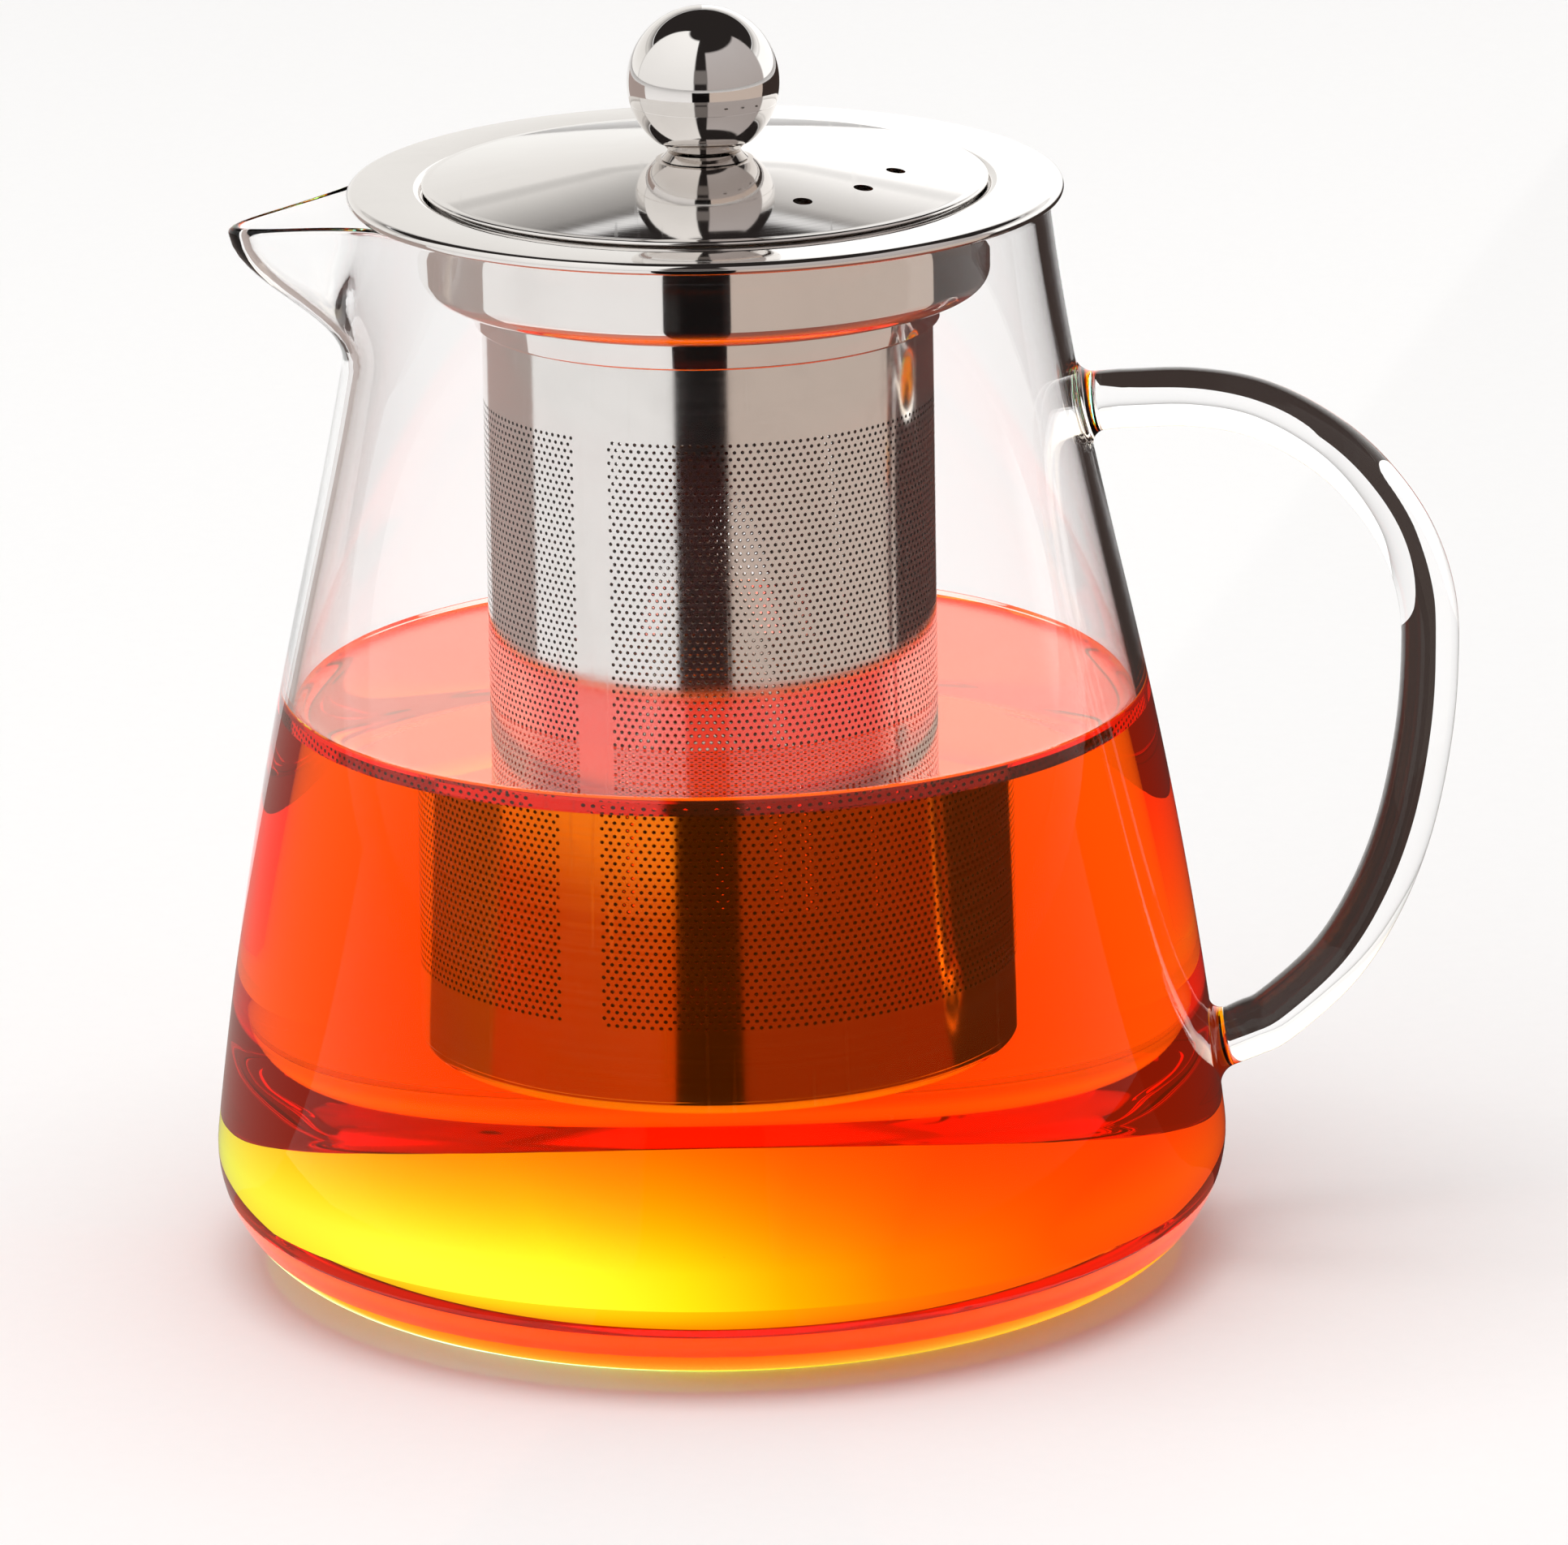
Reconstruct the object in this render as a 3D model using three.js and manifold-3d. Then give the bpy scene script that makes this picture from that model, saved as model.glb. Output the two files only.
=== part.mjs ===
// Glass teapot with a lift-out steel strainer and a domed steel lid.
//
// Millimetres, +Z up. The origin is the centre of the underside of the glass, the spout points along -X
// and the handle along +X. The steel pieces are pressed or spun from sheet, so most of them are drawn as
// a middle line in (radius, height) that is given the sheet's thickness and turned about the Z axis.

import * as THREE from 'three';
import { mergeVertices } from 'three/addons/utils/BufferGeometryUtils.js';
import Module from 'manifold-3d';

const wasm = await Module();
wasm.setup();

// Clearances between neighbouring pieces.
const REST_GAP = 0.3; // between pieces that lift apart, and between the vessel and its handle
const JOINT_GAP = 0.1; // between pieces that are welded or screwed together

// Glass vessel: flat base, round corner, long leaning wall.
const GLASS_WALL = 2.2;
const GLASS_FLOOR = 3.5;
const BASE_FLAT_R = 48.5;
const CORNER_R = 15;
const CORNER_LEAN = THREE.MathUtils.degToRad(6.8);
const CORNER_PULL = 60.8;
const RIM_R = 42.4;
const RIM_Z = 136.3;
const RIM_LEAN = THREE.MathUtils.degToRad(6.4);
const RIM_PULL = 39.4;

// Spout, pulled out of the rim: how far, how wide and how deep the swelling reaches.
const SPOUT_REACH = 16.6;
const SPOUT_HALF_WIDTH = 9;
const SPOUT_ROOT_Z = 115.5;
const SPOUT_DROOP = 3.6;
const SPOUT_DROOP_POWER = 0.7;

// Handle: a solid drawn glass rod with a swollen root at each end.
const HANDLE_HALF_THICK = 3.6;
const HANDLE_HALF_WIDTH = 4.6;
const HANDLE_PATH = [
  [43, 108.4], [52, 108.8], [60, 108.8], [68, 107.2], [75.5, 103.2], [81.5, 97.8], [86.4, 90.6],
  [89, 82.5], [89.3, 74], [88.4, 64], [86.1, 53], [82.5, 43.6], [77.4, 35.4], [70, 28.6], [62, 25.4], [56, 24.9],
];
const HANDLE_ROOTS = [{ x: 46.2, z: 108.4, halfHeight: 5.2 }, { x: 62, z: 25.2, halfHeight: 4.9 }];
const ROOT_HALF_WIDTH = 6.2;
const ROOT_HALF_DEPTH = 3.6;

// Infuser brim: a flat flange with a curled edge, then a collar, a ledge and a short neck.
const BRIM_SHEET = 0.6;
const FLANGE_R = 44.24;
const FLANGE_Z = 137.2; // upper face
const CURL_R = 0.5;
const CURL_END = THREE.MathUtils.degToRad(-30);
const SHOULDER_R = 1.3;
const COLLAR_R = 35;
const COLLAR_FLOOR_Z = 124.4;
const COLLAR_CORNER_R = 2.3;
const NECK_R = 28.8;
const NECK_CORNER_R = 1;
const NECK_END_Z = 120.4;

// Strainer: a perforated sleeve (drawn plain here) that is closed by a shallow pan.
const SLEEVE_SHEET = 0.4;
const SLEEVE_R = 27.9;
const SLEEVE_TOP_Z = 123.8;
const STRAINER_FLOOR_Z = 26.7;
const PAN_CORNER_R = 1.5;

// Lid: a dome with a flat lip, a locating skirt and three vents.
const LID_SHEET = 0.6;
const LIP_R = 34.95;
const DOME_EDGE_R = 34.2;
const LIP_Z = 137.8; // upper face
const DOME_TOP_Z = 141.5;
const SCREW_HOLE_R = 2.2;
const SKIRT_R = 33.9;
const SKIRT_TOP_Z = 136.9;
const SKIRT_END_Z = 128;
const VENT_R = 1.2;
const VENT_RING_R = 24;
const VENT_AZIMUTHS = [-60.5, -36.5, -12.5].map(THREE.MathUtils.degToRad);

// Knob: a hollow ball of two shells on a short neck, held by a screw from inside the lid.
const BALL_R = 9.44;
const BALL_Z = 149.85;
const BALL_SHEET = 0.8;
const BALL_CUT_Z = 142.7;
const SEAM_Z = 147.25;
const RING_HEIGHT = 1;
const RING_TOP_R = 5.5;
const RING_FOOT_R = 4.7;
const INSERT_R = 4;
const INSERT_HEIGHT = 5;
const THREAD_R = 2.15;
const SHANK_R = 1.9;
const SHANK_TOP_Z = 147.5;
const WASHER_R = 5;
const WASHER_HEIGHT = 0.8;
const HEAD_R = 3.6;
const HEAD_HEIGHT = 2;

// Facets round the axis, and steps along an arc or a wall.
const VESSEL_FACETS = 80;
const STEEL_FACETS = 40;
const KNOB_FACETS = 24;
const ARC_STEPS = 3;
const WALL_STEPS = 8;
const QUARTER = Math.PI / 2;

const CLEAR_GLASS = { color: 0xe9eeee, roughness: 0.02, metalness: 0, transparent: true, opacity: 0.35 };
const POLISHED_STEEL = { color: 0xcfcac4, roughness: 0.06, metalness: 1 };
const SATIN_STEEL = { color: 0xb9b4ae, roughness: 0.25, metalness: 1 };
const SCREW_STEEL = { color: 0xa9a6a2, roughness: 0.35, metalness: 1 };

function point(radius, height) {
  return new THREE.Vector2(radius, height);
}

function arc(centreR, centreZ, radius, from, to, steps = ARC_STEPS) {
  return new THREE.EllipseCurve(centreR, centreZ, radius, radius, from, to, from > to).getPoints(steps);
}

function mesh(name, geometry, finish) {
  const piece = new THREE.Mesh(geometry, new THREE.MeshStandardMaterial(finish));
  piece.name = name;
  return piece;
}

// Turns an outline in (radius, height) about the Z axis.
function turned(outline, facets) {
  return new THREE.LatheGeometry(outline, facets).rotateX(QUARTER);
}

// Closed outline of a sheet whose middle line is given. A line that starts on the axis leaves it level.
function sheetOutline(line, thickness) {
  const sides = line.map((here, i) => {
    const along = line[Math.min(i + 1, line.length - 1)].clone().sub(line[Math.max(i - 1, 0)]);
    const offset = here.x === 0 ? point(0, thickness / 2) : point(-along.y, along.x).setLength(thickness / 2);
    return [here.clone().sub(offset), here.clone().add(offset)];
  });
  const lower = sides.map(([under]) => under);
  const upper = sides.map(([, over]) => over).reverse();
  const closed = [...lower, ...upper];
  return line[0].x === 0 ? closed : [...closed, closed[0].clone()];
}

// Ring with a rectangular section.
function band(innerR, outerR, lowZ, highZ) {
  const corners = [point(innerR, lowZ), point(outerR, lowZ), point(outerR, highZ), point(innerR, highZ)];
  return [...corners, corners[0].clone()];
}

function solidOf(geometry) {
  const plain = geometry.clone();
  plain.deleteAttribute('normal');
  plain.deleteAttribute('uv');
  const merged = mergeVertices(plain, 1e-4);
  const shape = new wasm.Mesh({
    numProp: 3,
    vertProperties: new Float32Array(merged.attributes.position.array),
    triVerts: new Uint32Array(merged.index.array),
  });
  return new wasm.Manifold(shape);
}

function geometryOf(solid) {
  const shape = solid.getMesh();
  const geometry = new THREE.BufferGeometry();
  geometry.setAttribute('position', new THREE.BufferAttribute(new Float32Array(shape.vertProperties), 3));
  geometry.setIndex(new THREE.BufferAttribute(new Uint32Array(shape.triVerts), 1));
  geometry.computeVertexNormals();
  return geometry;
}

// Outline of the vessel from the axis to just below the rim, at a depth below its outer surface. The
// steps along the wall draw together towards the rim, where the spout bends it.
function vesselOutline(depth, floorZ) {
  const corner = CORNER_R - depth;
  const base = arc(BASE_FLAT_R, floorZ + corner, corner, -QUARTER, CORNER_LEAN);
  const foot = base[base.length - 1];
  const rim = point(RIM_R - depth, RIM_Z - GLASS_WALL / 2);
  const lower = point(-Math.sin(CORNER_LEAN), Math.cos(CORNER_LEAN)).multiplyScalar(CORNER_PULL).add(foot);
  const upper = point(Math.sin(RIM_LEAN), -Math.cos(RIM_LEAN)).multiplyScalar(RIM_PULL).add(rim);
  const wall = new THREE.CubicBezierCurve(foot, lower, upper, rim);
  const stations = Array.from({ length: WALL_STEPS }, (_, i) => 1 - (1 - (i + 1) / WALL_STEPS) ** 1.6);
  return [point(0, floorZ), ...base, ...stations.map((along) => wall.getPoint(along))];
}

// Draws the part of the rim that faces -X outwards and a little downwards.
function pullSpout(geometry) {
  const { position } = geometry.attributes;
  for (let i = 0; i < position.count; i += 1) {
    const [x, y, z] = [position.getX(i), position.getY(i), position.getZ(i)];
    const facing = Math.max(0, -x / Math.max(1, Math.hypot(x, y)));
    const height = THREE.MathUtils.smoothstep(z, SPOUT_ROOT_Z, RIM_Z);
    const share = (height * facing) / Math.cosh(y / SPOUT_HALF_WIDTH) ** 2;
    position.setX(i, x - SPOUT_REACH * share);
    position.setZ(i, z - SPOUT_DROOP * share ** SPOUT_DROOP_POWER);
  }
  return geometry;
}

function glassBody() {
  const outer = vesselOutline(0, 0);
  const inner = vesselOutline(GLASS_WALL, GLASS_FLOOR).reverse();
  const half = GLASS_WALL / 2;
  const lip = arc(RIM_R - half, RIM_Z - half, half, 0, Math.PI).slice(1, -1);
  const shell = turned([...outer, ...lip, ...inner], VESSEL_FACETS);
  return mesh('glass_body', pullSpout(shell), CLEAR_GLASS);
}

// The rod and its roots are cut back to just clear of the vessel's wall.
function glassHandle() {
  const section = new THREE.Shape().absellipse(0, 0, HANDLE_HALF_WIDTH, HANDLE_HALF_THICK, 0, 2 * Math.PI);
  const path = new THREE.CatmullRomCurve3(HANDLE_PATH.map(([x, z]) => new THREE.Vector3(x, 0, z)));
  const rod = new THREE.ExtrudeGeometry(section, { extrudePath: path, steps: 28, curveSegments: 6 });
  let solid = solidOf(rod);
  for (const { x, z, halfHeight } of HANDLE_ROOTS) {
    const root = new THREE.SphereGeometry(1, 16, 10).scale(ROOT_HALF_DEPTH, ROOT_HALF_WIDTH, halfHeight);
    solid = solid.add(solidOf(root.translate(x, 0, z)));
  }
  const outline = vesselOutline(-REST_GAP, -REST_GAP);
  const clearance = turned([...outline, point(0, RIM_Z)], VESSEL_FACETS);
  return mesh('glass_handle', geometryOf(solid.subtract(solidOf(clearance))), CLEAR_GLASS);
}

function infuserBrim() {
  const half = BRIM_SHEET / 2;
  const flangeZ = FLANGE_Z - half;
  const ledgeZ = COLLAR_FLOOR_Z + half;
  const [collarR, neckR] = [COLLAR_R - half, NECK_R - half];
  const line = [
    point(neckR, NECK_END_Z),
    ...arc(neckR + NECK_CORNER_R, ledgeZ - NECK_CORNER_R, NECK_CORNER_R, Math.PI, QUARTER),
    ...arc(collarR - COLLAR_CORNER_R, ledgeZ + COLLAR_CORNER_R, COLLAR_CORNER_R, -QUARTER, 0),
    ...arc(collarR + SHOULDER_R, flangeZ - SHOULDER_R, SHOULDER_R, Math.PI, QUARTER),
    ...arc(FLANGE_R - half - CURL_R, flangeZ - CURL_R, CURL_R, QUARTER, CURL_END),
  ];
  return mesh('infuser_brim', turned(sheetOutline(line, BRIM_SHEET), STEEL_FACETS), POLISHED_STEEL);
}

function strainerSleeve() {
  const foot = STRAINER_FLOOR_Z + SLEEVE_SHEET / 2 + PAN_CORNER_R + JOINT_GAP;
  const outline = band(SLEEVE_R - SLEEVE_SHEET, SLEEVE_R, foot, SLEEVE_TOP_Z);
  return mesh('strainer_sleeve', turned(outline, STEEL_FACETS), POLISHED_STEEL);
}

function strainerPan() {
  const half = SLEEVE_SHEET / 2;
  const floor = STRAINER_FLOOR_Z + half;
  const corner = arc(SLEEVE_R - half - PAN_CORNER_R, floor + PAN_CORNER_R, PAN_CORNER_R, -QUARTER, 0);
  const outline = sheetOutline([point(0, floor), ...corner], SLEEVE_SHEET);
  return mesh('strainer_pan', turned(outline, STEEL_FACETS), POLISHED_STEEL);
}

// The dome is part of a sphere whose radius follows from its rise.
function lidDome() {
  const half = LID_SHEET / 2;
  const rise = DOME_TOP_Z - LIP_Z;
  const radius = (DOME_EDGE_R ** 2 + rise ** 2) / (2 * rise);
  const centreZ = DOME_TOP_Z - half - radius;
  const holeAngle = Math.acos(SCREW_HOLE_R / radius);
  const edgeAngle = Math.acos(DOME_EDGE_R / radius);
  const line = [...arc(0, centreZ, radius, holeAngle, edgeAngle, 2 * ARC_STEPS), point(LIP_R, LIP_Z - half)];
  let solid = solidOf(turned(sheetOutline(line, LID_SHEET), STEEL_FACETS));
  const drillLength = 4 * rise;
  for (const azimuth of VENT_AZIMUTHS) {
    const drill = new THREE.CylinderGeometry(VENT_R, VENT_R, drillLength, 16).rotateX(QUARTER);
    drill.translate(VENT_RING_R * Math.cos(azimuth), VENT_RING_R * Math.sin(azimuth), LIP_Z);
    solid = solid.subtract(solidOf(drill));
  }
  return mesh('lid_dome', geometryOf(solid), POLISHED_STEEL);
}

function lidSkirt() {
  const outline = band(SKIRT_R - LID_SHEET, SKIRT_R, SKIRT_END_Z, SKIRT_TOP_Z);
  return mesh('lid_skirt', turned(outline, STEEL_FACETS), SATIN_STEEL);
}

function ballArc(fromZ, toAngle) {
  const middle = BALL_R - BALL_SHEET / 2;
  return arc(0, BALL_Z, middle, Math.asin((fromZ - BALL_Z) / middle), toAngle, 2 * ARC_STEPS);
}

function knobUpperShell() {
  const apex = point(0, BALL_Z + BALL_R - BALL_SHEET / 2);
  const line = [apex, ...ballArc(SEAM_Z + JOINT_GAP, QUARTER).reverse().slice(1)];
  const outline = sheetOutline(line, BALL_SHEET);
  return mesh('knob_upper_shell', turned(outline, KNOB_FACETS), POLISHED_STEEL);
}

function knobLowerShell() {
  const floor = BALL_CUT_Z + BALL_SHEET / 2;
  const middle = BALL_R - BALL_SHEET / 2;
  const line = [point(SCREW_HOLE_R, floor), ...ballArc(floor, Math.asin((SEAM_Z - BALL_Z) / middle))];
  return mesh('knob_lower_shell', turned(sheetOutline(line, BALL_SHEET), KNOB_FACETS), POLISHED_STEEL);
}

function knobRing() {
  const top = BALL_CUT_Z - JOINT_GAP;
  const foot = top - RING_HEIGHT;
  const corners = [
    point(SCREW_HOLE_R, foot), point(RING_FOOT_R, foot), point(RING_TOP_R, top), point(SCREW_HOLE_R, top),
  ];
  return mesh('knob_ring', turned([...corners, corners[0].clone()], KNOB_FACETS), POLISHED_STEEL);
}

function knobInsert() {
  const foot = BALL_CUT_Z + BALL_SHEET + JOINT_GAP;
  const outline = band(THREAD_R, INSERT_R, foot, foot + INSERT_HEIGHT);
  return mesh('knob_insert', turned(outline, KNOB_FACETS), SCREW_STEEL);
}

function washerTop() {
  return DOME_TOP_Z - LID_SHEET - 2 * JOINT_GAP;
}

function knobWasher() {
  const outline = band(SCREW_HOLE_R, WASHER_R, washerTop() - WASHER_HEIGHT, washerTop());
  return mesh('knob_washer', turned(outline, KNOB_FACETS), SATIN_STEEL);
}

function knobScrew() {
  const headTop = washerTop() - WASHER_HEIGHT - JOINT_GAP;
  const outline = [
    point(0, headTop - HEAD_HEIGHT), point(HEAD_R, headTop - HEAD_HEIGHT), point(HEAD_R, headTop),
    point(SHANK_R, headTop), point(SHANK_R, SHANK_TOP_Z), point(0, SHANK_TOP_Z),
  ];
  return mesh('knob_screw', turned(outline, KNOB_FACETS), SCREW_STEEL);
}

const pot = new THREE.Group().add(glassBody(), glassHandle());
const infuser = new THREE.Group().add(infuserBrim(), strainerSleeve(), strainerPan());
const knob = new THREE.Group().add(
  knobUpperShell(), knobLowerShell(), knobRing(), knobInsert(), knobWasher(), knobScrew(),
);
const lid = new THREE.Group().add(lidDome(), lidSkirt(), knob);

const teapot = new THREE.Group().add(pot, infuser, lid);

export default teapot;
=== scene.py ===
"""Glass teapot: blown glass pot with tea in it, perforated steel strainer and domed steel lid.

Every piece is made in metres in the frame's own axes: +Z up, spout towards -X, handle towards +X.
Round pieces are drawn as an outline in (radius, height) and spun about the Z axis. An outline runs
outwards along the underside and back along the top, so that its faces point out.
"""

import math

import bpy
import numpy as np
from mathutils import Matrix, Vector


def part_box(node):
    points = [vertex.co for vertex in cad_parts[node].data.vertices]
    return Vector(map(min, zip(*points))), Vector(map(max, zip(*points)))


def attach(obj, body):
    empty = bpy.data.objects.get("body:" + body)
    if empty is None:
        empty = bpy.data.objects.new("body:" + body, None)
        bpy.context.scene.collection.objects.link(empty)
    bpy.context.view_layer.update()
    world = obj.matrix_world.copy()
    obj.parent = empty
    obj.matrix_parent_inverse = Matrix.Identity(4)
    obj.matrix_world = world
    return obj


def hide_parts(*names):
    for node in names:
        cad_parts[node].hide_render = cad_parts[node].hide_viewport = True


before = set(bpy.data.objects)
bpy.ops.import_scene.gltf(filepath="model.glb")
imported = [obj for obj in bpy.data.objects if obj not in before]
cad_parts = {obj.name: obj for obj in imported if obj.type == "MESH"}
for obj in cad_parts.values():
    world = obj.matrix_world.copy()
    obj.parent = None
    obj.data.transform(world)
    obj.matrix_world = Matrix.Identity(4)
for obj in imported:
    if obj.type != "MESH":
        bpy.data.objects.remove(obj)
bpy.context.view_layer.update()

MM = 0.001
QUARTER = math.pi / 2

# Vessel.
GLASS_WALL = 2.2 * MM
GLASS_FLOOR = 3.5 * MM
BASE_FLAT_R = 48.5 * MM
CORNER_R = 15 * MM
CORNER_LEAN = math.radians(6.8)
CORNER_PULL = 60.8 * MM
RIM_R = 42.4 * MM
RIM_Z = 136.3 * MM
RIM_LEAN = math.radians(6.4)
RIM_PULL = 39.4 * MM
SPOUT_REACH = 16.6 * MM
SPOUT_HALF_WIDTH = 9 * MM
SPOUT_ROOT_Z = 115.5 * MM
SPOUT_DROOP = 3.6 * MM
SPOUT_DROOP_POWER = 0.7

# Handle: a drawn rod between two roots, each with a fillet where it is fused to the wall.
HANDLE_HALF_THICK = 3.6 * MM
HANDLE_HALF_WIDTH = 4.6 * MM
HANDLE_PATH_MM = (
    (51, 108.8), (60, 108.8), (68, 107.2), (75.5, 103.2), (81.5, 97.8), (86.4, 90.6), (89, 82.5),
    (89.3, 74), (88.4, 64), (86.1, 53), (82.5, 43.6), (77.4, 35.4), (70, 28.6), (66.4, 26.8),
)
UPPER_ROOT_Z = 108.5 * MM
UPPER_ROOT_SLOPE = 0.05
LOWER_ROOT_Z = 25.2 * MM
LOWER_ROOT_SLOPE = 0.35
ROOT_FILLET = 2.0 * MM
ROOT_BITE = 1.1 * MM

# How strongly light bends going into glass and into tea. Where glass and tea touch, the pot's outer
# face does all the bending, so that no false reflection comes from the faces between them.
GLASS_BEND = 1.47
TEA_BEND = 1.333
NO_BEND = 1.0

# Tea.
TEA_LEVEL = 72.3 * MM
TEA_BITE = 0.5 * MM
MENISCUS_RISE = 1.1 * MM
MENISCUS_REACH = 5 * MM
MENISCUS_FADE = 0.75 * MM

# How far outside the wall's middle a face still belongs to the wall and not to the handle.
WALL_REACH = 1.3 * MM

# Strainer.
SLEEVE_SHEET = 0.4 * MM
PAN_CORNER_R = 1.5 * MM
HOLE_R = 0.25 * MM
HOLE_COLUMNS = 180
PLAIN_COLUMNS = 5
BAND_ROWS = 29
SLEEVE_BANDS = 3
FIRST_ROW_Z = 110.7 * MM
LAST_ROW_Z = 37.7 * MM
SEAM_AZIMUTH = math.radians(-120.4)

# Pressed sheet of brim and lid.
SHEET = 0.6 * MM
SHOULDER_R = 1.3 * MM
CURL_R = 0.5 * MM
CURL_END = math.radians(-30)
COLLAR_R = 35 * MM
COLLAR_CORNER_R = 2.3 * MM
COLLAR_FLOOR_Z = 124.4 * MM
NECK_R = 28.8 * MM
NECK_CORNER_R = 1 * MM
DOME_EDGE_R = 34.2 * MM
CROWN_BEND_R = 120 * MM
CROWN_EDGE_R = 14 * MM
LIP_Z = 137.8 * MM
VENT_R = 1.2 * MM
VENT_RING_R = 24 * MM
VENT_AZIMUTHS = [math.radians(a) for a in (-60.5, -36.5, -12.5)]
SCREW_HOLE_R = 2.2 * MM

# Knob.
BALL_SHEET = 0.8 * MM
SEAM_EASE = 0.08 * MM
RING_TOP_R = 5.5 * MM
RING_FOOT_R = 4.7 * MM
RING_EASE = 0.12 * MM
THREAD_R = 2.15 * MM
SHANK_R = 1.9 * MM
SHANK_TIP = 0.4 * MM
HEAD_HEIGHT = 2 * MM
HEAD_CROWN = 1.2 * MM
HEAD_CROWN_PULL = 0.4 * MM
RECESS_HALF_LENGTH = 1.9 * MM
RECESS_HALF_WIDTH = 0.5 * MM
RECESS_DEPTH = 1.3 * MM

# Camera: where it stands, how far it looks down, aside and askew, and its lens.
CAMERA_PLACE = Vector((0, -1.3537, 0.4492))
CAMERA_DIP = math.radians(15.988)
CAMERA_TURN = math.radians(0.362)
CAMERA_ROLL = math.radians(0.935)
CAMERA_LENS = 258.6
SENSOR_WIDTH = 36
NEAREST, FARTHEST = 0.05, 50

# Facets round the axis, and the sharpest bends that are still shaded smooth.
GLASS_FACETS = 256
STEEL_FACETS = 256
SMALL_FACETS = 96
VENT_FACETS = 40
FLOOR_FACETS = 96
SMOOTH_BEND = math.radians(35)
SMOOTH_BEND_AT_ROOTS = math.radians(50)
SMOOTH_BEND_IN_RECESS = math.radians(25)


# Outlines ------------------------------------------------------------------------------------------

def arc(centre_r, centre_z, radius, start, end, steps=10):
    angles = np.linspace(start, end, steps + 1)
    return [(centre_r + radius * math.cos(a), centre_z + radius * math.sin(a)) for a in angles]


def bezier(start, start_pull, end_pull, end, steps):
    t = np.linspace(0, 1, steps + 1)[:, None]
    weights = ((1 - t) ** 3, 3 * (1 - t) ** 2 * t, 3 * (1 - t) * t ** 2, t ** 3)
    corners = (start, start_pull, end_pull, end)
    return [tuple(p) for p in sum(w * np.array(c) for w, c in zip(weights, corners))]


def sheet_outline(line, thickness):
    """Closed outline of a sheet with rounded edges, from its middle line."""
    points = np.array(line)
    along = np.gradient(points, axis=0)
    along /= np.linalg.norm(along, axis=1, keepdims=True)
    side = np.stack([-along[:, 1], along[:, 0]], axis=1)
    starts_on_axis = points[0, 0] == 0
    if starts_on_axis:
        side[0] = (0, 1)
    half = thickness / 2
    turn = np.linspace(-QUARTER, QUARTER, 7)[1:-1, None]
    far_edge = points[-1] + half * (np.cos(turn) * along[-1] + np.sin(turn) * side[-1])
    near_edge = points[0] - half * (np.cos(turn) * along[0] + np.sin(turn) * side[0])
    lower, upper = points - half * side, (points + half * side)[::-1]
    closed = [lower, far_edge, upper] + ([] if starts_on_axis else [near_edge])
    return [tuple(p) for p in np.concatenate(closed)]


def band(inner_r, outer_r, low_z, high_z, ease=0.1 * MM):
    """Ring section with eased corners."""
    return [
        (inner_r + ease, low_z), (outer_r - ease, low_z),
        (outer_r, low_z + ease), (outer_r, high_z - ease),
        (outer_r - ease, high_z), (inner_r + ease, high_z),
        (inner_r, high_z - ease), (inner_r, low_z + ease),
    ]


# Meshes --------------------------------------------------------------------------------------------

def piece_from(name, vertices, faces):
    mesh = bpy.data.meshes.new(name)
    mesh.from_pydata(vertices, [], faces)
    mesh.shade_smooth()
    mesh.set_sharp_from_angle(angle=SMOOTH_BEND)
    piece = bpy.data.objects.new(name, mesh)
    bpy.context.scene.collection.objects.link(piece)
    return piece


def spun(name, outline, facets=STEEL_FACETS):
    """Spins an outline about Z. It closes on itself, or starts and ends on the axis."""
    turn = np.linspace(0, 2 * math.pi, facets, endpoint=False)
    vertices, rows = [], []
    for radius, height in outline:
        start = len(vertices)
        if radius < MM / 1000:
            vertices.append((0, 0, height))
            rows.append([start] * facets)
        else:
            vertices += [(radius * math.cos(a), radius * math.sin(a), height) for a in turn]
            rows.append(list(range(start, start + facets)))
    if outline[0][0] > MM / 1000:
        rows.append(rows[0])
    faces = []
    for here, after in zip(rows, rows[1:]):
        for i in range(facets):
            j = (i + 1) % facets
            corners = tuple(dict.fromkeys((here[i], here[j], after[j], after[i])))
            if len(corners) > 2:
                faces.append(corners)
    return piece_from(name, vertices, faces)


def lofted(name, rings):
    """Solid skin over rings of points, closed at both ends."""
    sides = len(rings[0])
    faces = [tuple(reversed(range(sides)))]
    for row in range(len(rings) - 1):
        for k in range(sides):
            a, b = row * sides + k, row * sides + (k + 1) % sides
            faces.append((a, b, b + sides, a + sides))
    faces.append(tuple(range((len(rings) - 1) * sides, len(rings) * sides)))
    return piece_from(name, [p for ring in rings for p in ring], faces)


def boolean(piece, other, operation, smooth_bend=SMOOTH_BEND):
    """Joins or cuts piece with another mesh, which is used up."""
    modifier = piece.modifiers.new("join", "BOOLEAN")
    modifier.operation = operation
    modifier.object = other
    modifier.solver = "EXACT"
    graph = bpy.context.evaluated_depsgraph_get()
    result = bpy.data.meshes.new_from_object(piece.evaluated_get(graph))
    piece.modifiers.clear()
    piece.data = result
    piece.data.shade_smooth()
    piece.data.set_sharp_from_angle(angle=smooth_bend)
    bpy.data.objects.remove(other)
    return piece


# Glass pot -----------------------------------------------------------------------------------------

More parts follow.
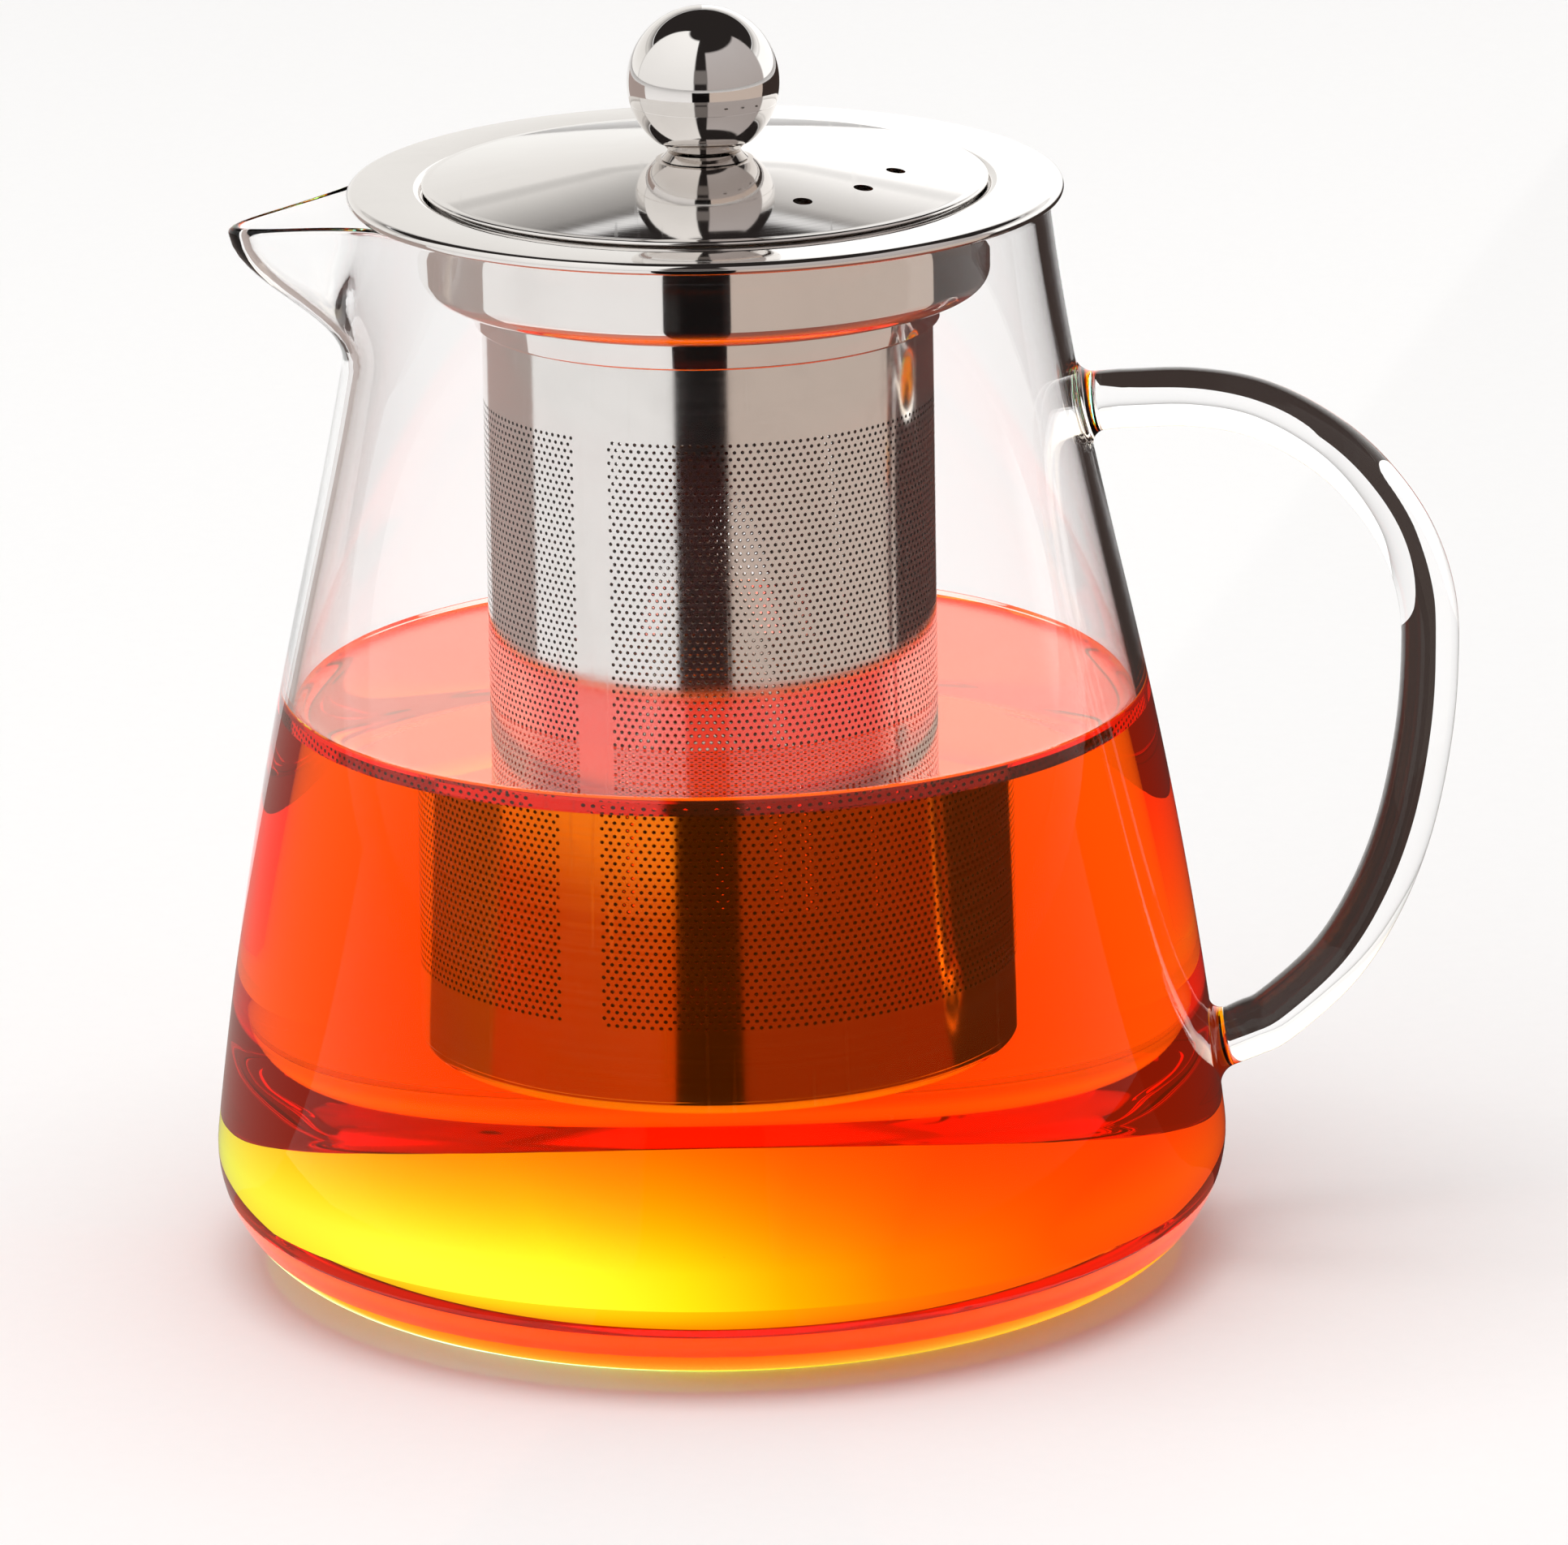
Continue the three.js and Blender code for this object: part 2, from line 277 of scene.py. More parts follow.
def vessel_outline(depth, floor_z, wall_steps=80):
    """From the axis over the base and up to just below the rim, at a depth under the outer surface."""
    corner = CORNER_R - depth
    base = arc(BASE_FLAT_R, floor_z + corner, corner, -QUARTER, CORNER_LEAN, 20)
    foot = base[-1]
    rim = (RIM_R - depth, RIM_Z - GLASS_WALL / 2)
    lower_lean = CORNER_PULL * math.sin(CORNER_LEAN), CORNER_PULL * math.cos(CORNER_LEAN)
    upper_lean = RIM_PULL * math.sin(RIM_LEAN), RIM_PULL * math.cos(RIM_LEAN)
    lower = (foot[0] - lower_lean[0], foot[1] + lower_lean[1])
    upper = (rim[0] + upper_lean[0], rim[1] - upper_lean[1])
    flat = [(BASE_FLAT_R * share, floor_z) for share in (0, 0.3, 0.6, 0.85)]
    return flat + base + bezier(foot, lower, upper, rim, wall_steps)[1:]


def pull_spout(piece):
    """Draws the rim out and a little down where it faces -X."""
    places = np.empty(len(piece.data.vertices) * 3)
    piece.data.vertices.foreach_get("co", places)
    x, y, z = places.reshape(-1, 3).T
    facing = np.maximum(0, -x / np.maximum(MM, np.hypot(x, y)))
    rise = np.clip((z - SPOUT_ROOT_Z) / (RIM_Z - SPOUT_ROOT_Z), 0, 1)
    share = rise ** 2 * (3 - 2 * rise) * facing / np.cosh(y / SPOUT_HALF_WIDTH) ** 2
    moved = np.stack([x - SPOUT_REACH * share, y, z - SPOUT_DROOP * share ** SPOUT_DROOP_POWER], axis=1)
    piece.data.vertices.foreach_set("co", moved.ravel())
    piece.data.update()


def even_path(points, steps):
    """Catmull-Rom curve through the points, in even steps."""
    p = np.array([2 * np.array(points[0]) - points[1], *points, 2 * np.array(points[-1]) - points[-2]])
    curve = []
    for a, b, c, d in zip(p, p[1:], p[2:], p[3:]):
        pull, bend, twist = c - a, 2 * a - 5 * b + 4 * c - d, 3 * b - a - 3 * c + d
        for t in np.linspace(0, 1, 16, endpoint=False):
            curve.append(0.5 * (2 * b + pull * t + bend * t ** 2 + twist * t ** 3))
    curve = np.array([*curve, points[-1]])
    length = np.concatenate([[0], np.cumsum(np.linalg.norm(np.diff(curve, axis=0), axis=1))])
    even = np.linspace(0, length[-1], steps + 1)
    return np.stack([np.interp(even, length, curve[:, k]) for k in (0, 1)], axis=1)


def handle_section(sides=48):
    """Unit circle round the rod, as its out and across parts."""
    turn = np.linspace(0, 2 * math.pi, sides, endpoint=False)
    return np.cos(turn), -np.sin(turn)


def root_rings(root_z, slope, heading, wall_r, wall_z, steps=8):
    """Rings that follow the wall's outer surface, from inside the glass out through the fillet."""
    up, across = handle_section()
    turn = np.linspace(0, QUARTER, steps + 1)
    heights = [-ROOT_BITE, *(ROOT_FILLET * (1 - np.cos(turn)) - 0.05 * MM)]
    swells = [ROOT_FILLET, *(ROOT_FILLET * (1 - np.sin(turn)))]
    rings = []
    for height, swell in zip(heights, swells):
        y = (HANDLE_HALF_WIDTH + swell) * across
        z = root_z + slope * height + heading * (HANDLE_HALF_THICK + swell) * up
        x = np.sqrt(np.interp(z, wall_z, wall_r) ** 2 - y ** 2) + height
        rings.append(np.stack([x, y, z], axis=1))
    return rings


def handle_rod(steps=130):
    wall = np.array(vessel_outline(0, 0)[8:])
    path = even_path([(x * MM, z * MM) for x, z in HANDLE_PATH_MM], steps)
    along = np.gradient(path, axis=0)
    along /= np.linalg.norm(along, axis=1, keepdims=True)
    out, across = handle_section()
    rings = root_rings(UPPER_ROOT_Z, UPPER_ROOT_SLOPE, 1, wall[:, 0], wall[:, 1])
    for (x, z), (dx, dz) in zip(path, along):
        ring = (
            x - dz * HANDLE_HALF_THICK * out,
            HANDLE_HALF_WIDTH * across,
            z + dx * HANDLE_HALF_THICK * out,
        )
        rings.append(np.stack(ring, axis=1))
    rings += root_rings(LOWER_ROOT_Z, LOWER_ROOT_SLOPE, -1, wall[:, 0], wall[:, 1])[::-1]
    return lofted("handle_rod", rings)


def glass_pot():
    half = GLASS_WALL / 2
    lip = arc(RIM_R - half, RIM_Z - half, half, 0, math.pi, 12)[1:-1]
    outline = vessel_outline(0, 0) + lip + vessel_outline(GLASS_WALL, GLASS_FLOOR)[::-1]
    pot = spun("glass_pot", outline, GLASS_FACETS)
    pull_spout(pot)
    boolean(pot, handle_rod(), "UNION", SMOOTH_BEND_AT_ROOTS)
    return pot


def wetted_faces(pot):
    """Finish numbers of the faces: 0 in air, 1 outside the wall below the tea line, 2 inside it."""
    wall = np.array(vessel_outline(GLASS_WALL / 2, GLASS_FLOOR / 2)[4:])
    count = len(pot.data.polygons)
    middles = np.empty(count * 3)
    pot.data.polygons.foreach_get("center", middles)
    x, y, z = middles.reshape(-1, 3).T
    radius = np.hypot(x, y)
    wall_r = np.interp(z, wall[:, 1], wall[:, 0])
    inside = (radius < wall_r) & (z > GLASS_FLOOR * 0.9)
    on_wall = radius < wall_r + WALL_REACH
    below = z < TEA_LEVEL
    return np.where(below & inside, 2, np.where(below & on_wall, 1, 0))


# Tea -----------------------------------------------------------------------------------------------

def tea():
    """Fills the pot and bites a little into its wall, so that no air is left between glass and tea."""
    wall = [p for p in vessel_outline(GLASS_WALL - TEA_BITE, GLASS_FLOOR - TEA_BITE) if p[1] < TEA_LEVEL]
    (below_r, below_z), (edge_r, edge_z) = wall[-2:]
    lean = (edge_r - below_r) / (edge_z - below_z)
    crest_r = edge_r + lean * (TEA_LEVEL + MENISCUS_RISE - edge_z)
    hollow = []
    for inward in MENISCUS_REACH * np.linspace(0, 1, 16) ** 1.5:
        climb = MENISCUS_RISE * math.exp(-max(0, inward - TEA_BITE) / MENISCUS_FADE)
        hollow.append((crest_r - inward, TEA_LEVEL + climb))
    level = [(crest_r * share, TEA_LEVEL) for share in (0.8, 0.55, 0.3, 0)]
    return spun("tea", wall + hollow + level, GLASS_FACETS)


def against_glass(liquor):
    """Finish numbers of the tea's faces: 0 on its free surface, 1 where it lies against the glass."""
    heights = np.array([face.center.z for face in liquor.data.polygons])
    ups = np.array([face.normal.z for face in liquor.data.polygons])
    return np.where((heights > TEA_LEVEL - 0.1 * MM) & (ups > 0.1), 0, 1)


# Strainer ------------------------------------------------------------------------------------------

SLEEVE_LOW, SLEEVE_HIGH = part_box("strainer_sleeve")
ROW_PITCH = (FIRST_ROW_Z - LAST_ROW_Z) / (BAND_ROWS * SLEEVE_BANDS - 1)
CELL_CORNERS = ((1, 1), (0, 2), (-1, 1), (-1, -1), (0, -2), (1, -1))


def sleeve_band(name, first_row):
    """Rows of the perforated sheet as six-cornered cells, each with its hole, rolled round the axis.

    One unit across is half a hole pitch and one unit up is a third of a row pitch, so that the corners
    of neighbouring cells have the same whole-number places.
    """
    around = 2 * HOLE_COLUMNS
    hole_share = HOLE_R * math.sqrt(3) / (2 * math.pi * SLEEVE_HIGH.x / HOLE_COLUMNS)
    top = (SLEEVE_HIGH.z - FIRST_ROW_Z) / ROW_PITCH * 3
    foot = (SLEEVE_LOW.z - FIRST_ROW_Z) / ROW_PITCH * 3
    index, sheet = {}, []

    def corner(u, v):
        return index.setdefault((u % around, v), len(index))

    for row in range(first_row, first_row + BAND_ROWS):
        for column in range(HOLE_COLUMNS):
            u, v = 2 * column - row % 2, -3 * row
            cell = [corner(u + du, v + dv) for du, dv in CELL_CORNERS]
            if column < PLAIN_COLUMNS:
                sheet.append(cell)
                continue
            hole = [corner(u + du * hole_share, v + dv * hole_share) for du, dv in CELL_CORNERS]
            sheet += [(cell[k - 1], cell[k], hole[k], hole[k - 1]) for k in range(6)]
    for column in range(HOLE_COLUMNS):
        if first_row == 0:
            u = 2 * column
            left, middle, right = corner(u - 1, 1), corner(u, 2), corner(u + 1, 1)
            above = corner(u - 1, top), corner(u, top), corner(u + 1, top)
            sheet += [(left, middle, above[1], above[0]), (middle, right, above[2], above[1])]
        if first_row == BAND_ROWS * (SLEEVE_BANDS - 1):
            last = BAND_ROWS * SLEEVE_BANDS - 1
            u, v = 2 * column - last % 2, -3 * last
            left, middle, right = corner(u - 1, v - 1), corner(u, v - 2), corner(u + 1, v - 1)
            below = corner(u - 1, foot), corner(u, foot), corner(u + 1, foot)
            sheet += [(below[0], below[1], middle, left), (below[1], below[2], right, middle)]
    return rolled(name, np.array(list(index)), sheet)


def rolled(name, places, sheet):
    """Rolls a flat sheet of faces to a tube with the sleeve's wall, and closes its open edges."""
    count = len(places)
    angle = SEAM_AZIMUTH + (places[:, 0] - PLAIN_COLUMNS + 0.5) * math.pi / HOLE_COLUMNS
    height = FIRST_ROW_Z + places[:, 1] * ROW_PITCH / 3
    outward = np.stack([np.cos(angle), np.sin(angle), np.zeros(count)], axis=1)
    flat = np.stack([np.zeros(count), np.zeros(count), height], axis=1)
    outside, inside = flat + SLEEVE_HIGH.x * outward, flat + (SLEEVE_HIGH.x - SLEEVE_SHEET) * outward
    used = set()
    for face in sheet:
        used.update(zip(face, (*face[1:], face[0])))
    walls = [(b, a, a + count, b + count) for a, b in used if (b, a) not in used]
    walls.sort()
    back = [tuple(i + count for i in reversed(face)) for face in sheet]
    band_piece = piece_from(name, np.concatenate([outside, inside]), [*sheet, *back, *walls])
    normals = [outward[i] for face in sheet for i in face]
    normals += [-outward[i - count] for face in back for i in face]
    normals += [(0, 0, 0)] * (4 * len(walls))
    band_piece.data.normals_split_custom_set(normals)
    return band_piece


def inside_faces(sleeve):
    """Finish numbers of the sleeve's faces: 0 outside, 1 inside and in the holes."""
    count = len(sleeve.data.polygons)
    middles, normals = np.empty(count * 3), np.empty(count * 3)
    sleeve.data.polygons.foreach_get("center", middles)
    sleeve.data.polygons.foreach_get("normal", normals)
    outward = (middles * normals).reshape(-1, 3)[:, :2].sum(axis=1) / SLEEVE_HIGH.x
    return np.where(outward > 0.5, 0, 1)


def strainer_pan():
    low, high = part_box("strainer_pan")
    half = SLEEVE_SHEET / 2
    floor = low.z + half
    corner = arc(high.x - half - PAN_CORNER_R, floor + PAN_CORNER_R, PAN_CORNER_R, -QUARTER, 0)
    return spun("strainer_pan", sheet_outline([(0, floor), (high.x / 2, floor), *corner], SLEEVE_SHEET))


def infuser_brim():
    low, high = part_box("infuser_brim")
    half = SHEET / 2
    flange_z = high.z - half
    ledge_z = COLLAR_FLOOR_Z + half
    collar_r, neck_r = COLLAR_R - half, NECK_R - half
    line = [
        (neck_r, low.z + half),
        *arc(neck_r + NECK_CORNER_R, ledge_z - NECK_CORNER_R, NECK_CORNER_R, math.pi, QUARTER),
        *arc(collar_r - COLLAR_CORNER_R, ledge_z + COLLAR_CORNER_R, COLLAR_CORNER_R, -QUARTER, 0),
        *arc(collar_r + SHOULDER_R, flange_z - SHOULDER_R, SHOULDER_R, math.pi, QUARTER),
        *arc(high.x - half - CURL_R, flange_z - CURL_R, CURL_R, QUARTER, CURL_END),
    ]
    return spun("infuser_brim", sheet_outline(line, SHEET))


# Lid -----------------------------------------------------------------------------------------------

def lid_dome():
    low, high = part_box("lid_dome")
    half = SHEET / 2
    crown_fall = CROWN_EDGE_R ** 2 / (2 * CROWN_BEND_R)
    slope = CROWN_EDGE_R / CROWN_BEND_R
    run = DOME_EDGE_R - CROWN_EDGE_R
    extra_fall = high.z - LIP_Z - crown_fall - slope * run
    cap = []
    for r in np.linspace(SCREW_HOLE_R, DOME_EDGE_R, 60):
        past = max(0, r - CROWN_EDGE_R)
        inside = min(r, CROWN_EDGE_R)
        fall = inside ** 2 / (2 * CROWN_BEND_R) + slope * past + extra_fall * (past / run) ** 2
        cap.append((r, high.z - half - fall))
    dome = spun("lid_dome", sheet_outline([*cap, (high.x - half, LIP_Z - half)], SHEET))
    for azimuth in VENT_AZIMUTHS:
        drill = spun("drill", [(0, low.z), (VENT_R, low.z), (VENT_R, high.z), (0, high.z)], VENT_FACETS)
        place = (VENT_RING_R * math.cos(azimuth), VENT_RING_R * math.sin(azimuth), 0)
        drill.data.transform(Matrix.Translation(place))
        boolean(dome, drill, "DIFFERENCE")
    return dome


def lid_skirt():
    low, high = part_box("lid_skirt")
    half = SHEET / 2
    line = [(high.x - half, low.z + half), (high.x - half, high.z - half)]
    return spun("lid_skirt", sheet_outline(line, SHEET))


BALL_LOW, BALL_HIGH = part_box("knob_upper_shell")
CUP_LOW, CUP_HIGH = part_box("knob_lower_shell")
BALL_R = BALL_HIGH.x
BALL_Z = BALL_HIGH.z - BALL_R


def ball_arc(radius, from_z, to_z, steps=40):
    start, end = (math.asin(max(-1, min(1, (z - BALL_Z) / radius))) for z in (from_z, to_z))
    return arc(0, BALL_Z, radius, start, end, steps)


def knob_upper_shell():
    inner_r = BALL_R - BALL_SHEET
    foot = BALL_LOW.z
    inner = ball_arc(inner_r, BALL_Z + inner_r, foot)
    edge_r = math.sqrt(BALL_R ** 2 - (foot - BALL_Z) ** 2)
    outer = ball_arc(BALL_R, foot + SEAM_EASE, BALL_Z + BALL_R)
    inner[0], outer[-1] = (0, inner[0][1]), (0, outer[-1][1])
    return spun("knob_upper_shell", [*inner, (edge_r - SEAM_EASE, foot), *outer], SMALL_FACETS)


def knob_lower_shell():
    inner_r = BALL_R - BALL_SHEET
    floor, top = CUP_LOW.z, CUP_HIGH.z
    outer = ball_arc(BALL_R, floor, top - SEAM_EASE)
    edge_r = math.sqrt(BALL_R ** 2 - (top - BALL_Z) ** 2) - SEAM_EASE
    inner = ball_arc(inner_r, top, floor + BALL_SHEET)
    outline = [(SCREW_HOLE_R, floor), *outer, (edge_r, top), *inner, (SCREW_HOLE_R, floor + BALL_SHEET)]
    return spun("knob_lower_shell", outline, SMALL_FACETS)


def knob_ring():
    low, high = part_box("knob_ring")
    outline = [
        (SCREW_HOLE_R, low.z), (RING_FOOT_R - RING_EASE, low.z), (RING_FOOT_R, low.z + RING_EASE),
        (RING_TOP_R, high.z - RING_EASE), (RING_TOP_R - RING_EASE, high.z), (SCREW_HOLE_R, high.z),
    ]
    return spun("knob_ring", outline, SMALL_FACETS)


def knob_insert():
    low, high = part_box("knob_insert")
    return spun("knob_insert", band(THREAD_R, high.x, low.z, high.z), SMALL_FACETS)


def knob_washer():
    low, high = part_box("knob_washer")
    return spun("knob_washer", band(SCREW_HOLE_R, high.x, low.z, high.z), SMALL_FACETS)


def knob_screw():
    """Pan-head screw, point up, with a cross recess in the underside of its head."""
    low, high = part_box("knob_screw")
    head_top = low.z + HEAD_HEIGHT
    crown_end = (high.x, low.z + HEAD_CROWN)
    crown_pull = (high.x, low.z + HEAD_CROWN_PULL)
    crown = bezier((0, low.z), (high.x * 0.6, low.z), crown_pull, crown_end, 12)
    outline = [
        *crown, (high.x, head_top), (SHANK_R, head_top),
        (SHANK_R, high.z - SHANK_TIP), (SHANK_R - SHANK_TIP, high.z), (0, high.z),
    ]
    screw = spun("knob_screw", outline, SMALL_FACETS)
    long, wide = RECESS_HALF_LENGTH, RECESS_HALF_WIDTH
    mouth = [(-long, -wide), (long, -wide), (long, wide), (-long, wide)]
    for turn in (0, QUARTER):
        outside = [(x, y, low.z - 0.2 * MM) for x, y in mouth]
        bottom = [(x / 2, y / 2, low.z + RECESS_DEPTH) for x, y in mouth]
        blade = lofted("blade", [outside, bottom])
        blade.data.transform(Matrix.Rotation(turn, 4, "Z"))
        boolean(screw, blade, "DIFFERENCE", SMOOTH_BEND_IN_RECESS)
    return screw


# Surface effects shared by several materials -------------------------------------------------------

SPUN_RING_STRETCH = 0.6
SPUN_STREAKS_FROM, SPUN_STREAKS_TO = 0.35, 0.65
SMEARS_FROM, SMEARS_TO = 0.45, 0.75
HAIRLINES_FROM, HAIRLINES_TO = 0.70, 0.76
HAIRLINES = ((0.35, 900.0), (1.9, 700.0), (2.6, 1100.0))  # turn about Z, and lines per metre
HAIRLINE_LENGTH_SCALE = 25.0
HAIRLINE_TIP, HAIRLINE_SWAY = 0.4, 0.3
WAVE_UPRIGHT_STRETCH = 0.45


def feed(tree, socket, value):
    """Sets a socket to a number or a colour, or links another socket to it."""
    if isinstance(value, bpy.types.NodeSocket):
        tree.links.new(value, socket)
    elif isinstance(value, tuple):
        socket.default_value = (*value, 1)
    else:
        socket.default_value = value


def effect(name, setting, default, outputs):
    """Empty node group with one named setting and named outputs, all of them plain numbers."""
    group = bpy.data.node_groups.new(name, "ShaderNodeTree")
    socket = group.interface.new_socket(setting, in_out="INPUT", socket_type="NodeSocketFloat")
    socket.default_value = default
    for label in outputs:
        group.interface.new_socket(label, in_out="OUTPUT", socket_type="NodeSocketFloat")
    given = group.nodes.new("NodeGroupInput").outputs[setting]
    return group, given, group.nodes.new("NodeGroupOutput").inputs


def math_node(tree, operation, *values):
    node = tree.nodes.new("ShaderNodeMath")
    node.operation = operation
    for socket, value in zip(node.inputs, values):
        feed(tree, socket, value)
    return node.outputs[0]


def noise(tree, vector, scale, detail, roughness, distortion=0.0):
    node = tree.nodes.new("ShaderNodeTexNoise")
    node.inputs["Detail"].default_value = detail
    node.inputs["Roughness"].default_value = roughness
    node.inputs["Distortion"].default_value = distortion
    feed(tree, node.inputs["Scale"], scale)
    tree.links.new(vector, node.inputs["Vector"])
    return node.outputs["Fac"]


def spread(tree, value, from_low, from_high, to_low=0.0, to_high=1.0):
    """Maps one range of a value to another, and goes no further than its ends."""
    node = tree.nodes.new("ShaderNodeMapRange")
    tree.links.new(value, node.inputs["Value"])
    node.inputs["From Min"].default_value = from_low
    node.inputs["From Max"].default_value = from_high
    node.inputs["To Min"].default_value = to_low
    node.inputs["To Max"].default_value = to_high
    return node.outputs["Result"]


def between(tree, value, low, high, soft):
    """1 where the value is between low and high, fading to 0 on both sides."""
    rising = spread(tree, value, low - soft, low + soft)
    falling = spread(tree, value, high - soft, high + soft, 1.0, 0.0)
    return math_node(tree, "MULTIPLY", rising, falling)


def colour_mix(tree, mask, low, high):
    """Mix of two colours, each given as numbers or as a socket."""
    node = tree.nodes.new("ShaderNodeMix")
    node.data_type = "RGBA"
    tree.links.new(mask, node.inputs["Factor"])
    feed(tree, node.inputs["A"], low)
    feed(tree, node.inputs["B"], high)
    return node.outputs["Result"]


def object_place(tree):
    return tree.nodes.new("ShaderNodeTexCoord").outputs["Object"]


def parts_of(tree, vector):
    split = tree.nodes.new("ShaderNodeSeparateXYZ")
    tree.links.new(vector, split.inputs[0])
    return split.outputs


def spun_marks():
    """Fine rings left by polishing on a lathe: their height, and streaks of roughness, both 0 to 1."""
    group, pitch, result = effect("spun_marks", "Rings per metre", 4000.0, ("Height", "Streaks"))
    x, y, z = parts_of(group, object_place(group))
    x_square = math_node(group, "MULTIPLY", x, x)
    y_square = math_node(group, "MULTIPLY", y, y)
    radius = math_node(group, "SQRT", math_node(group, "ADD", x_square, y_square))
    turn = math_node(group, "ARCTAN2", y, x)
    together = group.nodes.new("ShaderNodeCombineXYZ")
    group.links.new(math_node(group, "MULTIPLY", radius, pitch), together.inputs["X"])
    group.links.new(math_node(group, "MULTIPLY", turn, SPUN_RING_STRETCH), together.inputs["Y"])
    group.links.new(math_node(group, "MULTIPLY", z, pitch), together.inputs["Z"])
    rings = noise(group, together.outputs[0], 1.0, detail=2, roughness=0.6)
    streaks = spread(group, rings, SPUN_STREAKS_FROM, SPUN_STREAKS_TO)
    group.links.new(rings, result["Height"])
    group.links.new(streaks, result["Streaks"])
    return group


def handling():
    """Faint smears and hairline scratches from handling: two masks from 0 to 1."""
    group, smear_scale, result = effect("handling", "Smear scale", 60.0, ("Smears", "Scratches"))
    place = object_place(group)
    smears = noise(group, place, smear_scale, detail=4, roughness=0.6, distortion=0.6)
    group.links.new(spread(group, smears, SMEARS_FROM, SMEARS_TO), result["Smears"])
    lines = None
    for k, (turn, fineness) in enumerate(HAIRLINES):
        aim = group.nodes.new("ShaderNodeMapping")
        aim.inputs["Rotation"].default_value = (HAIRLINE_TIP * k, HAIRLINE_SWAY, turn)
        aim.inputs["Scale"].default_value = (fineness, HAIRLINE_LENGTH_SCALE, HAIRLINE_LENGTH_SCALE)
        group.links.new(place, aim.inputs["Vector"])
        hair = noise(group, aim.outputs[0], 1.0, detail=1, roughness=0.5)
        hair = spread(group, hair, HAIRLINES_FROM, HAIRLINES_TO)
        lines = hair if lines is None else math_node(group, "MAXIMUM", lines, hair)
    group.links.new(lines, result["Scratches"])
    return group


def fire_waves():
    """Slow upright waves of glass that was worked hot: one height from 0 to 1."""
    group, wave_scale, result = effect("fire_waves", "Wave scale", 28.0, ("Height",))
    stretch = group.nodes.new("ShaderNodeMapping")
    stretch.inputs["Scale"].default_value = (1.0, 1.0, WAVE_UPRIGHT_STRETCH)
    group.links.new(object_place(group), stretch.inputs["Vector"])
    waves = noise(group, stretch.outputs[0], wave_scale, detail=1.5, roughness=0.4)
    group.links.new(waves, result["Height"])
    return group


def ripples():
    """Slow ripples of a liquid: one height from 0 to 1."""
    group, ripple_scale, result = effect("ripples", "Ripple scale", 45.0, ("Height",))
    ripple = noise(group, object_place(group), ripple_scale, detail=1, roughness=0.4)
    group.links.new(ripple, result["Height"])
    return group


SPUN_MARKS = spun_marks()
HANDLING = handling()
FIRE_WAVES = fire_waves()
RIPPLES = ripples()


# Materials -----------------------------------------------------------------------------------------

# Glass: how strong its mirror reflections are in air and over tea, and its marks of use and making.
GLASS_GLARE = 0.4
GLASS_GLARE_OVER_TEA = 0.15
CLEAR_COLOUR = (1.0, 1.0, 1.0)
SMEARED_GLASS_COLOUR = (0.985, 0.99, 0.99)
GLASS_SMEAR_SCALE = 35.0
GLASS_SCRATCH_ROUGHNESS = 0.02
WAVE_SCALE = 28.0
WAVE_DEPTH = 0.25 * MM
WAVE_STRENGTH = 0.5

# Tea: its colour in depth, a faint glow for the light scattered in it, and slow ripples.
TEA_COLOUR = (0.995, 0.69, 0.0)
TEA_DENSITY = 90.0
TEA_GLOW_COLOUR = (1.0, 0.25, 0.0)
TEA_GLOW = 0.025
RIPPLE_SCALE = 45.0
RIPPLE_DEPTH = 0.05 * MM
RIPPLE_STRENGTH = 0.5
RIPPLE_COLOURS = (1.0, 0.995, 0.985), (0.99, 0.98, 0.96)


def new_material(name):
    material = bpy.data.materials.new(name)
    material.use_nodes = True
    return material, material.node_tree, material.node_tree.nodes["Principled BSDF"]


def place_effect(tree, group, setting):
    node = tree.nodes.new("ShaderNodeGroup")
    node.node_tree = group
    node.inputs[0].default_value = setting
    return node.outputs


def add_bump(tree, height, shader, distance, strength=1.0):
    bump = tree.nodes.new("ShaderNodeBump")
    bump.inputs["Distance"].default_value = distance
    bump.inputs["Strength"].default_value = strength
    tree.links.new(height, bump.inputs["Height"])
    tree.links.new(bump.outputs["Normal"], shader.inputs["Normal"])


def steel(name, colour, smeared_colour, roughness, mark_roughness, rings, ring_depth, smear_scale):
    """Stainless steel: mirror or satin by its roughness, with lathe rings, smears and hairlines."""
    material, tree, shader = new_material(name)
    shader.inputs["Metallic"].default_value = 1.0
    spinning = place_effect(tree, SPUN_MARKS, rings)
    marks = place_effect(tree, HANDLING, smear_scale)
    tint = colour_mix(tree, marks["Smears"], colour, smeared_colour)
    tree.links.new(tint, shader.inputs["Base Color"])
    streaks = math_node(tree, "MULTIPLY", spinning["Streaks"], mark_roughness)
    smears = math_node(tree, "MULTIPLY", marks["Smears"], mark_roughness)
    scratches = math_node(tree, "MULTIPLY", marks["Scratches"], 2 * mark_roughness)
    total = math_node(tree, "ADD", math_node(tree, "ADD", streaks, smears), scratches)
    tree.links.new(math_node(tree, "ADD", total, roughness), shader.inputs["Roughness"])
    add_bump(tree, spinning["Height"], shader, ring_depth)
    return material


